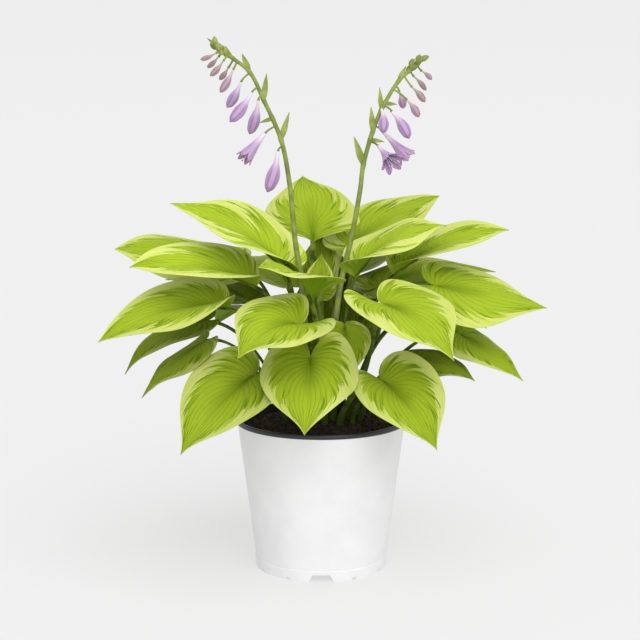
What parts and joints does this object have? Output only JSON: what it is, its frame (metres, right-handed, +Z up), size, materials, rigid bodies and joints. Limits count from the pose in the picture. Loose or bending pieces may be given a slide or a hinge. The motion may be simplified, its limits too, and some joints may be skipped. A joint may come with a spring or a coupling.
{
  "type": "potted hosta",
  "caption": "Flowering variegated hosta in a round plastic nursery pot: heart-shaped green leaves with pale margins on channelled stalks, with lavender flower scapes.",
  "frame": {"origin": "centre of the pot's flat bottom pad, where the pot's axis meets the surface it stands on", "axes": "+Z up along the pot's axis; -Y is the front of the plant; +X to the right seen from the front"},
  "size_m": [0.417, 0.3002, 0.5127],
  "materials": {
    "pot": "satin white moulded plastic outside, black inside and lip",
    "soil": null,
    "leaf": null,
    "scape": null,
    "bloom": null
  },
  "bodies": {
    "root": {"pot": "pot", "soil": "soil", "leaf_front_1": "leaf", "leaf_front_2": "leaf", "leaf_front_3": "leaf", "leaf_front_4": "leaf", "leaf_front_5": "leaf", "leaf_front_6": "leaf", "leaf_right_1": "leaf", "leaf_right_2": "leaf", "leaf_right_3": "leaf", "leaf_right_4": "leaf", "leaf_right_5": "leaf", "leaf_right_6": "leaf", "leaf_right_7": "leaf", "leaf_left_1": "leaf", "leaf_left_2": "leaf", "leaf_left_3": "leaf", "leaf_left_4": "leaf", "leaf_left_5": "leaf", "leaf_top_1": "leaf", "leaf_top_2": "leaf", "leaf_crown_1": "leaf", "leaf_crown_2": "leaf", "leaf_crown_3": "leaf", "leaf_back_1": "leaf", "leaf_back_2": "leaf", "leaf_back_3": "leaf", "leaf_back_4": "leaf", "leaf_back_5": "leaf", "leaf_back_6": "leaf", "leaf_back_7": "leaf", "leaf_back_8": "leaf", "scape_left": "scape", "scape_left_bloom_1": "bloom", "scape_left_bloom_2": "bloom", "scape_left_bloom_3": "bloom", "scape_left_bloom_4": "bloom", "scape_left_bloom_5": "bloom", "scape_left_bloom_6": "bloom", "scape_left_bloom_7": "bloom", "scape_left_bloom_8": "bloom", "scape_left_bloom_9": "bloom", "scape_left_bloom_10": "bloom", "scape_right": "scape", "scape_right_bloom_1": "bloom", "scape_right_bloom_2": "bloom", "scape_right_bloom_3": "bloom", "scape_right_bloom_4": "bloom", "scape_right_bloom_5": "bloom", "scape_right_bloom_6": "bloom", "scape_right_bloom_7": "bloom", "scape_right_bloom_8": "bloom", "scape_right_bloom_9": "bloom"}
  },
  "joints": []
}
